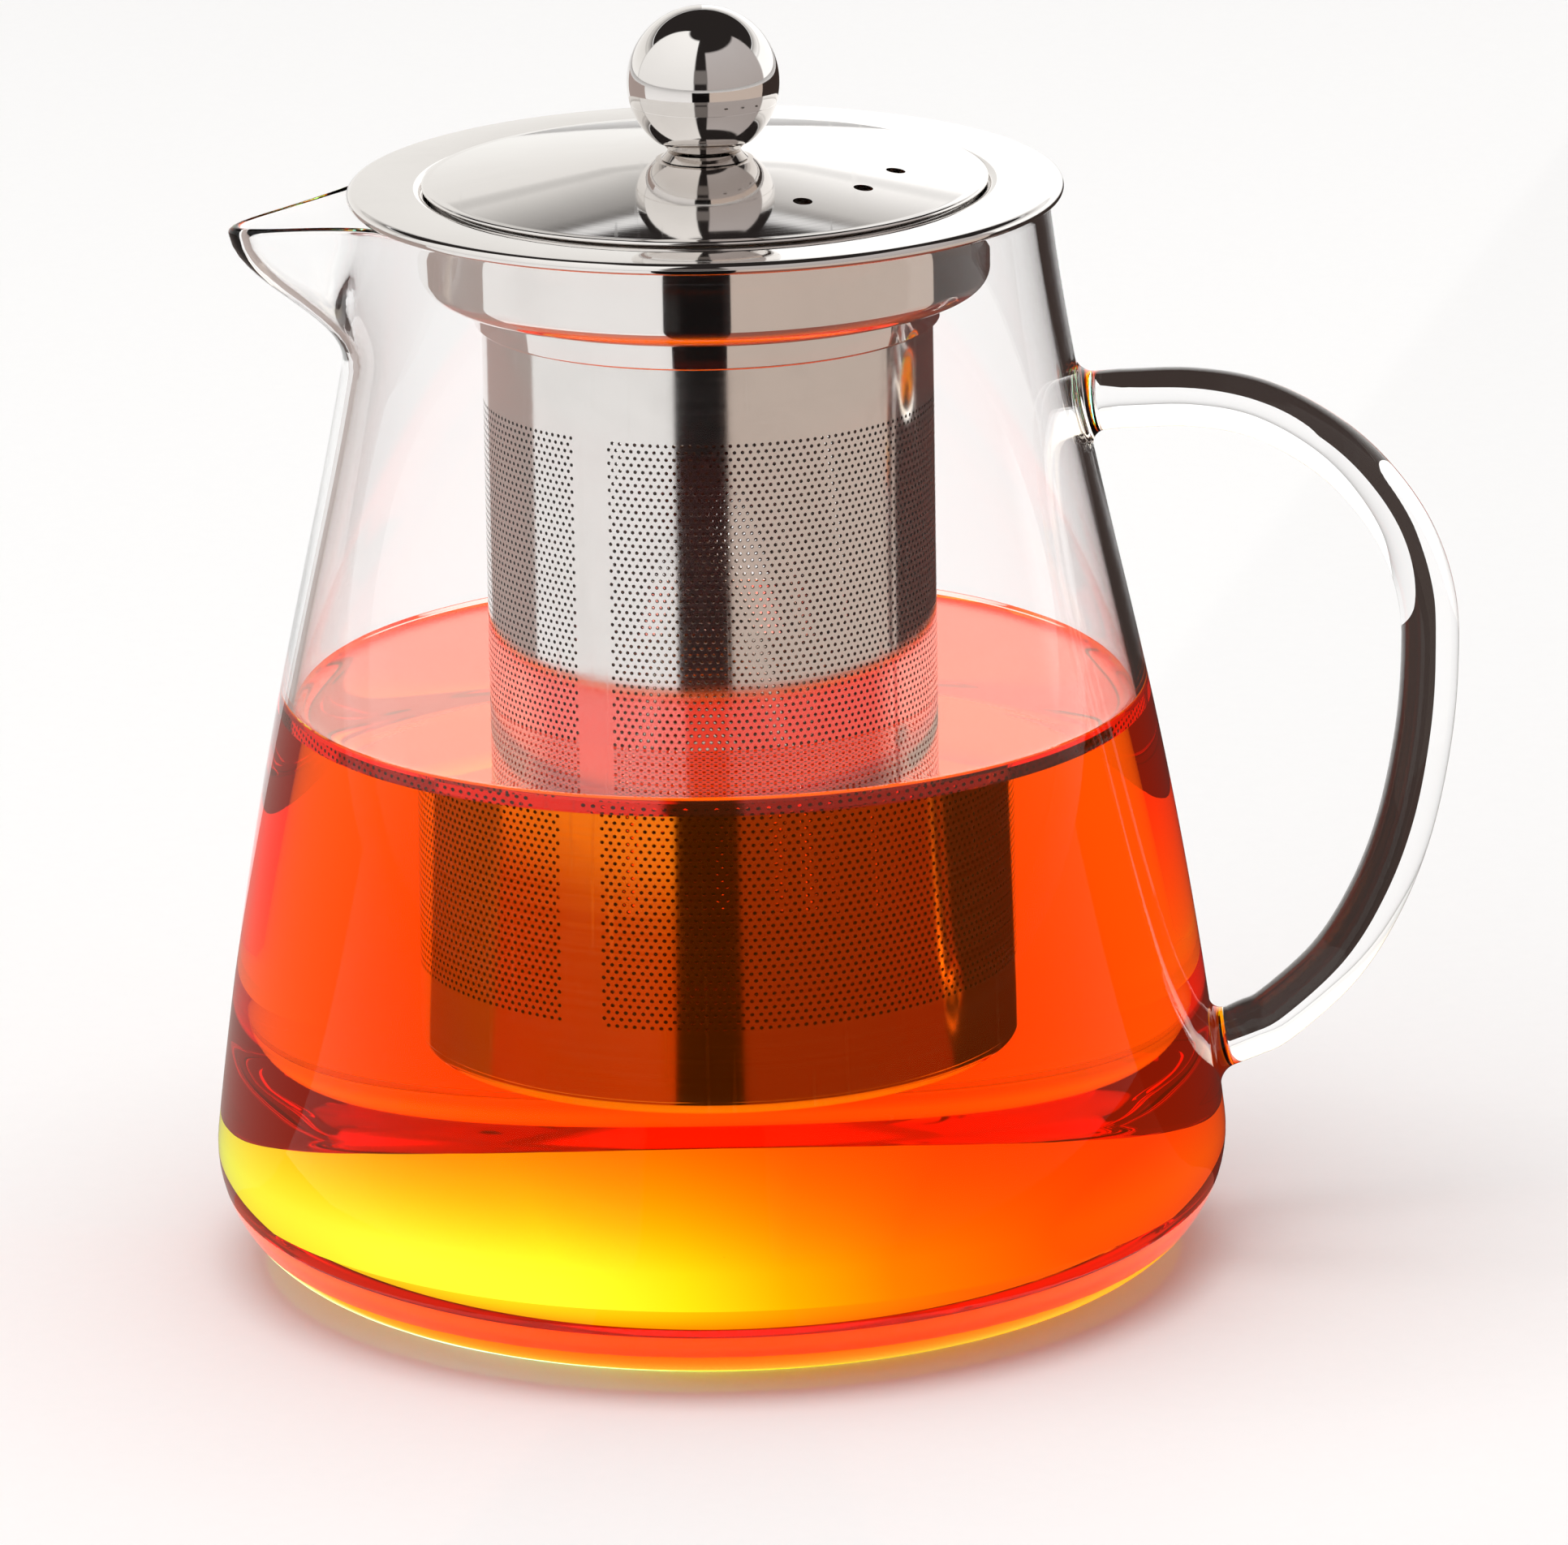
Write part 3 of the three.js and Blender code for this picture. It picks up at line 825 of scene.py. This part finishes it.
def clear_glass(name, bend, glare=1.0):
    """Clear glass with faint smears and scratches, and the slow waves of its making."""
    material, tree, shader = new_material(name)
    shader.inputs["Transmission Weight"].default_value = 1.0
    shader.inputs["Specular Tint"].default_value = (glare, glare, glare, 1)
    shader.inputs["IOR"].default_value = bend
    marks = place_effect(tree, HANDLING, GLASS_SMEAR_SCALE)
    tint = colour_mix(tree, marks["Smears"], CLEAR_COLOUR, SMEARED_GLASS_COLOUR)
    tree.links.new(tint, shader.inputs["Base Color"])
    scratched = math_node(tree, "MULTIPLY", marks["Scratches"], GLASS_SCRATCH_ROUGHNESS)
    tree.links.new(scratched, shader.inputs["Roughness"])
    waves = place_effect(tree, FIRE_WAVES, WAVE_SCALE)["Height"]
    add_bump(tree, waves, shader, WAVE_DEPTH, WAVE_STRENGTH)
    return material


def tea_liquor(name, bend):
    """Clear tea: its colour is in its depth, with a faint glow for the light scattered in it."""
    material, tree, shader = new_material(name)
    shader.inputs["Transmission Weight"].default_value = 1.0
    shader.inputs["IOR"].default_value = bend
    shader.inputs["Roughness"].default_value = 0.0
    ripple = place_effect(tree, RIPPLES, RIPPLE_SCALE)["Height"]
    add_bump(tree, ripple, shader, RIPPLE_DEPTH, RIPPLE_STRENGTH)
    tree.links.new(colour_mix(tree, ripple, *RIPPLE_COLOURS), shader.inputs["Base Color"])
    depth = tree.nodes.new("ShaderNodeVolumeAbsorption")
    depth.inputs["Color"].default_value = (*TEA_COLOUR, 1)
    depth.inputs["Density"].default_value = TEA_DENSITY
    tree.links.new(depth.outputs[0], tree.nodes["Material Output"].inputs["Volume"])
    shader.inputs["Emission Color"].default_value = (*TEA_GLOW_COLOUR, 1)
    shader.inputs["Emission Strength"].default_value = TEA_GLOW
    return material


# Pieces on their bodies ----------------------------------------------------------------------------

def fit(piece, body, slot, finish, *nodes):
    piece.data.materials.clear()
    piece.data.materials.append(finish)
    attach(piece, body)
    if nodes:
        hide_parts(*nodes)


polished = steel(
    "polished_steel", colour=(0.80, 0.775, 0.755), smeared_colour=(0.76, 0.735, 0.715), roughness=0.035,
    mark_roughness=0.02, rings=2600.0, ring_depth=0.0006 * MM, smear_scale=60.0,
)
rolled_sheet = steel(
    "rolled_steel", colour=(0.78, 0.76, 0.74), smeared_colour=(0.74, 0.72, 0.70), roughness=0.09,
    mark_roughness=0.03, rings=1800.0, ring_depth=0.001 * MM, smear_scale=90.0,
)
stained = steel(
    "stained_steel", colour=(0.30, 0.22, 0.17), smeared_colour=(0.20, 0.13, 0.09), roughness=0.22,
    mark_roughness=0.06, rings=1800.0, ring_depth=0.002 * MM, smear_scale=90.0,
)
satin = steel(
    "satin_steel", colour=(0.68, 0.66, 0.64), smeared_colour=(0.62, 0.60, 0.585), roughness=0.24,
    mark_roughness=0.08, rings=6000.0, ring_depth=0.004 * MM, smear_scale=110.0,
)
machined = steel(
    "screw_steel", colour=(0.60, 0.59, 0.58), smeared_colour=(0.52, 0.51, 0.50), roughness=0.3,
    mark_roughness=0.1, rings=9000.0, ring_depth=0.006 * MM, smear_scale=200.0,
)

pot = glass_pot()
glass_in_air = clear_glass("clear_glass", GLASS_BEND, GLASS_GLARE)
fit(pot, "pot", "clear_glass", glass_in_air, "glass_body", "glass_handle")
pot.data.materials.append(clear_glass("glass_over_tea", TEA_BEND, GLASS_GLARE_OVER_TEA))
pot.data.materials.append(clear_glass("glass_wetted", NO_BEND))
pot.data.polygons.foreach_set("material_index", wetted_faces(pot))
liquor = tea()
fit(liquor, "pot", "tea", tea_liquor("tea_surface", TEA_BEND))
liquor.data.materials.append(tea_liquor("tea_against_glass", NO_BEND))
liquor.data.polygons.foreach_set("material_index", against_glass(liquor))
liquor.visible_diffuse = False  # so that its shadow on the floor isn't red
fit(infuser_brim(), "infuser", "polished_steel", polished, "infuser_brim")
for number in range(SLEEVE_BANDS):
    sleeve = sleeve_band(f"strainer_sleeve_{number + 1}", number * BAND_ROWS)
    fit(sleeve, "infuser", "polished_steel", rolled_sheet, "strainer_sleeve")
    sleeve.data.materials.append(stained)
    sleeve.data.polygons.foreach_set("material_index", inside_faces(sleeve))
fit(strainer_pan(), "infuser", "polished_steel", rolled_sheet, "strainer_pan")
fit(lid_dome(), "lid", "polished_steel", polished, "lid_dome")
fit(lid_skirt(), "lid", "satin_steel", satin, "lid_skirt")
fit(knob_upper_shell(), "lid", "polished_steel", polished, "knob_upper_shell")
fit(knob_lower_shell(), "lid", "polished_steel", polished, "knob_lower_shell")
fit(knob_ring(), "lid", "polished_steel", polished, "knob_ring")
fit(knob_insert(), "lid", "screw_steel", machined, "knob_insert")
fit(knob_washer(), "lid", "satin_steel", satin, "knob_washer")
fit(knob_screw(), "lid", "screw_steel", machined, "knob_screw")


# Studio --------------------------------------------------------------------------------------------

# What the pot sees round it, as (from azimuth, to azimuth, from height, to height, colour at the lower
# edge, colour at the upper edge) in degrees. Azimuth 0 is towards the camera and runs to +X; height is
# above the horizon. Later panels cover earlier ones.
SURROUNDINGS = (
    (-116, -14, -5, 75, (0.95, 0.94, 0.92), (1.15, 1.14, 1.12)),
    (6, 104, -5, 55, (0.50, 0.45, 0.43), (0.58, 0.54, 0.53)),
    (104, 200, -5, 20, (1.35, 1.34, 1.32), (1.30, 1.29, 1.27)),
    (104, 200, 20, 29, (1.28, 1.27, 1.25), (0.50, 0.48, 0.46)),
    (-200, -116, -5, 20, (1.08, 1.07, 1.04), (0.90, 0.88, 0.85)),
    (-14, 6, 8, 28, (0.20, 0.18, 0.17), (0.20, 0.18, 0.17)),
    (-200, -116, 20, 29, (0.90, 0.88, 0.85), (0.25, 0.24, 0.23)),
    (-200, -116, 29, 30.2, (0.9, 0.9, 0.9), (0.9, 0.9, 0.9)),
    (104, 200, 29, 30.2, (0.9, 0.9, 0.9), (0.9, 0.9, 0.9)),
)
CEILING = (0.025, 0.021, 0.02)
PANEL_SOFTNESS = 1.5

# Light from behind that is seen only through glass or tea: heights in degrees, gain at either side, and
# how far a direction points sideways (X) or backwards (Y) where each of them is reached.
BACKLIGHT_FROM, BACKLIGHT_TO = 6, 75
BACKLIGHT_SOFTNESS = 3.0
BACKLIGHT_COLOUR = (1.0, 0.90, 0.76)
BACKLIGHT_LEFT_GAIN, BACKLIGHT_RIGHT_GAIN = 2.0, 2.4
BACKLIGHT_LEFT, BACKLIGHT_RIGHT = -0.3, 0.5
BACKLIGHT_FULL_BEHIND = 0.4

# Glowing cards on the floor that show only in reflections, as painted reflections: (from azimuth, to
# azimuth, from r, to r, colour). Card number HANDLE_CARD also shows through the handle, but not through
# more faces of glass, as a painted dark streak in it.
CARDS = (
    (-150, -98, 0.066, 1.6, (0.44, 0.36, 0.33)),
    (-98, -17, 0.066, 0.16, (0.60, 0.24, 0.18)),
    (-17, 9, 0.066, 1.6, (0.006, 0.005, 0.005)),
    (9, 100, 0.066, 0.24, (0.30, 0.10, 0.07)),
    (9, 100, 0.24, 1.6, (0.64, 0.53, 0.46)),
    (100, 166, 0.066, 0.42, (0.045, 0.032, 0.028)),
    (100, 166, 0.42, 1.6, (0.045, 0.032, 0.028)),
)
CARD_Z = 0.001
HANDLE_CARD = 6
HANDLE_GLASS_FACES = 2.5

# Glowing ring on the floor round the pot, seen only through the glass.
RING_INNER_R, RING_OUTER_R = 0.058, 0.2
RING_Z = -0.0001
RING_COLOUR = (1.15, 1.12, 1.1)

# Glowing sheets in and under the pot's base, which paint into the tea the glow of a flame at its left:
# colours from left to right for a level look across the tea, and one colour for a look down into it, so
# that the painted glow changes with the look. A look is level from LEVEL_TO on, and down below
# LEVEL_FROM, as a share from straight down to level.
LEVEL_FROM, LEVEL_TO = 0.45, 0.70
PINHOLE_R = 0.0001
BASE_LIGHT_Z, BASE_LIGHT_R = 0.0012, 0.050
UNDER_LIGHT_Z, UNDER_LIGHT_R = -0.0001, 0.058
BASE_LIGHT_STRENGTH = 4.5
BASE_LIGHT_COLOURS = (
    (-0.050, (0.235, 0.60, 0.3)),
    (-0.030, (0.235, 0.95, 0.8)),
    (-0.016, (0.235, 1.0, 0.5)),
    (-0.004, (0.235, 0.72, 0.1)),
    (0.006, (0.235, 0.39, 0.0)),
    (0.016, (0.235, 0.185, 0.0)),
    (0.030, (0.235, 0.075, 0.0)),
)
BASE_LIGHT_FROM_ABOVE = (0.28, 0.26, 0.02)

# Floor: a wide disc whose top is a hair below the pot's underside.
FLOOR_R = 6
FLOOR_FOOT, FLOOR_TOP = -0.02, -0.0002
FLOOR_RINGS = (FLOOR_R, 3, 0.5, 0.1, 0)
FLOOR_GRAIN_SCALE = 400.0
FLOOR_COLOURS = (0.90, 0.90, 0.90), (0.92, 0.92, 0.92)
FLOOR_ROUGHNESS = 0.6
FLOOR_GLOSS = 0.2

# Soft lamp overhead, seen neither by the camera nor in reflections.
LAMP_PLACE = (0, 0.1, 2.3)
LAMP_WIDTH = 2.6
LAMP_WATTS = 45


def sky():
    world = bpy.data.worlds.new("studio")
    bpy.context.scene.world = world
    world.use_nodes = True
    tree = world.node_tree
    x, y, z = parts_of(tree, tree.nodes.new("ShaderNodeTexCoord").outputs["Generated"])
    towards = math_node(tree, "MULTIPLY", y, -1.0)
    azimuth = math_node(tree, "DEGREES", math_node(tree, "ARCTAN2", x, towards))
    height = math_node(tree, "DEGREES", math_node(tree, "ARCSINE", z))
    colour = CEILING
    for left, right, low, high, low_colour, high_colour in SURROUNDINGS:
        soft = min(PANEL_SOFTNESS, (high - low) / 4)
        beside = between(tree, azimuth, left, right, PANEL_SOFTNESS)
        mask = math_node(tree, "MULTIPLY", beside, between(tree, height, low, high, soft))
        panel = colour_mix(tree, spread(tree, height, low, high), low_colour, high_colour)
        colour = colour_mix(tree, mask, colour, panel)
    behind = spread(tree, y, 0.0, BACKLIGHT_FULL_BEHIND)
    raised = between(tree, height, BACKLIGHT_FROM, BACKLIGHT_TO, BACKLIGHT_SOFTNESS)
    lit = math_node(tree, "MULTIPLY", behind, raised)
    through_glass = tree.nodes.new("ShaderNodeLightPath").outputs["Is Transmission Ray"]
    mask = math_node(tree, "MULTIPLY", lit, through_glass)
    gain = spread(tree, x, BACKLIGHT_LEFT, BACKLIGHT_RIGHT, BACKLIGHT_LEFT_GAIN, BACKLIGHT_RIGHT_GAIN)
    backlight = tree.nodes.new("ShaderNodeVectorMath")
    backlight.operation = "SCALE"
    backlight.inputs[0].default_value = BACKLIGHT_COLOUR
    tree.links.new(gain, backlight.inputs["Scale"])
    colour = colour_mix(tree, mask, colour, backlight.outputs[0])
    tree.links.new(colour, tree.nodes["Background"].inputs["Color"])


def floor():
    under = [(0, FLOOR_FOOT), (FLOOR_R, FLOOR_FOOT)]
    piece = spun("floor", under + [(r, FLOOR_TOP) for r in FLOOR_RINGS], FLOOR_FACETS)
    material, tree, shader = new_material("pale_floor")
    grain = noise(tree, object_place(tree), FLOOR_GRAIN_SCALE, detail=3, roughness=0.6)
    tree.links.new(colour_mix(tree, grain, *FLOOR_COLOURS), shader.inputs["Base Color"])
    shader.inputs["Roughness"].default_value = FLOOR_ROUGHNESS
    shader.inputs["Specular IOR Level"].default_value = FLOOR_GLOSS
    piece.data.materials.append(material)


def lit_sheet(name, points, faces, colour):
    """Plain glowing sheet that neither the camera nor the floor sees."""
    piece = piece_from(name, points, faces)
    material, tree, shader = new_material(name)
    shader.inputs["Base Color"].default_value = (0, 0, 0, 1)
    shader.inputs["Specular IOR Level"].default_value = 0.0
    shader.inputs["Emission Color"].default_value = (*colour, 1)
    shader.inputs["Emission Strength"].default_value = 1.0
    piece.data.materials.append(material)
    piece.visible_camera = False
    piece.visible_diffuse = False
    piece.visible_shadow = False
    return piece, tree, shader


def sector(inner_r, outer_r, from_azimuth, to_azimuth, height, steps=48):
    """Flat ring, or a part of one, between two azimuths in degrees."""
    turns = np.radians(np.linspace(from_azimuth, to_azimuth, steps + 1))
    points = [(r * math.sin(a), -r * math.cos(a), height) for r in (inner_r, outer_r) for a in turns]
    faces = [(k, k + steps + 1, k + steps + 2, k + 1) for k in range(steps)]
    return points, faces


def base_light(name, outer_r, height):
    points, faces = sector(PINHOLE_R, outer_r, 0, 360, height)
    piece, tree, shader = lit_sheet(name, points, faces, (1, 1, 1))
    across = tree.nodes.new("ShaderNodeValToRGB")
    stops = across.color_ramp.elements
    while len(stops) < len(BASE_LIGHT_COLOURS):
        stops.new(1.0)
    for stop, (x, colour) in zip(stops, BASE_LIGHT_COLOURS):
        stop.position = x / (2 * BASE_LIGHT_R) + 0.5
        stop.color = (*colour, 1)
    x, y, z = parts_of(tree, object_place(tree))
    tree.links.new(spread(tree, x, -BASE_LIGHT_R, BASE_LIGHT_R), across.inputs["Fac"])
    # painted glow: the sheet's colour changes with how steeply it is looked at, not with any lamp
    facing = tree.nodes.new("ShaderNodeLayerWeight").outputs["Facing"]
    level = spread(tree, facing, LEVEL_FROM, LEVEL_TO)
    glow = colour_mix(tree, level, BASE_LIGHT_FROM_ABOVE, across.outputs["Color"])
    tree.links.new(glow, shader.inputs["Emission Color"])
    shader.inputs["Emission Strength"].default_value = BASE_LIGHT_STRENGTH


def floor_cards():
    for number, (left, right, inner_r, outer_r, colour) in enumerate(CARDS, 1):
        points, faces = sector(inner_r, outer_r, left, right, CARD_Z)
        piece, tree, shader = lit_sheet(f"card_{number}", points, faces, colour)
        way = tree.nodes.new("ShaderNodeLightPath").outputs
        # painted reflections: a card shows only to rays that have been reflected
        shows = math_node(tree, "GREATER_THAN", way["Glossy Depth"], 0.5)
        # the dark card also paints a dark streak that is seen through the handle
        if number == HANDLE_CARD:
            through_rod = math_node(tree, "LESS_THAN", way["Transmission Depth"], HANDLE_GLASS_FACES)
            shows = math_node(tree, "MAXIMUM", shows, through_rod)
        tree.links.new(shows, shader.inputs["Alpha"])


def glowing_ring():
    points, faces = sector(RING_INNER_R, RING_OUTER_R, 0, 360, RING_Z)
    ring = lit_sheet("ring", points, faces, RING_COLOUR)[0]
    ring.visible_glossy = False


def overhead_light():
    light = bpy.data.lights.new("overhead", "AREA")
    light.shape = "DISK"
    light.size = LAMP_WIDTH
    light.energy = LAMP_WATTS
    lamp = bpy.data.objects.new("overhead", light)
    lamp.location = LAMP_PLACE
    lamp.visible_glossy = False
    lamp.visible_camera = False
    bpy.context.scene.collection.objects.link(lamp)


def camera():
    dip, turn = CAMERA_DIP, CAMERA_TURN
    ahead = Vector((math.sin(turn) * math.cos(dip), math.cos(turn) * math.cos(dip), -math.sin(dip)))
    right = Vector((math.cos(turn), -math.sin(turn), 0))
    up = right.cross(ahead)
    tilted_right = right * math.cos(CAMERA_ROLL) - up * math.sin(CAMERA_ROLL)
    tilted_up = right * math.sin(CAMERA_ROLL) + up * math.cos(CAMERA_ROLL)
    data = bpy.data.cameras.new("camera")
    data.lens = CAMERA_LENS
    data.sensor_width = SENSOR_WIDTH
    data.clip_start = NEAREST
    data.clip_end = FARTHEST
    viewer = bpy.data.objects.new("camera", data)
    aim = Matrix((tilted_right, tilted_up, -ahead)).transposed().to_4x4()
    viewer.matrix_world = Matrix.Translation(CAMERA_PLACE) @ aim
    bpy.context.scene.collection.objects.link(viewer)
    bpy.context.scene.camera = viewer


sky()
floor()
floor_cards()
glowing_ring()
base_light("base_light", BASE_LIGHT_R, BASE_LIGHT_Z)
base_light("under_light", UNDER_LIGHT_R, UNDER_LIGHT_Z)
overhead_light()
camera()

# Enough bounces for light to get through both walls, the tea and the sleeve's holes.
scene = bpy.context.scene
scene.view_settings.view_transform = "Standard"
scene.cycles.max_bounces = 24
scene.cycles.glossy_bounces = 10
scene.cycles.transmission_bounces = 20

bpy.context.view_layer.update()
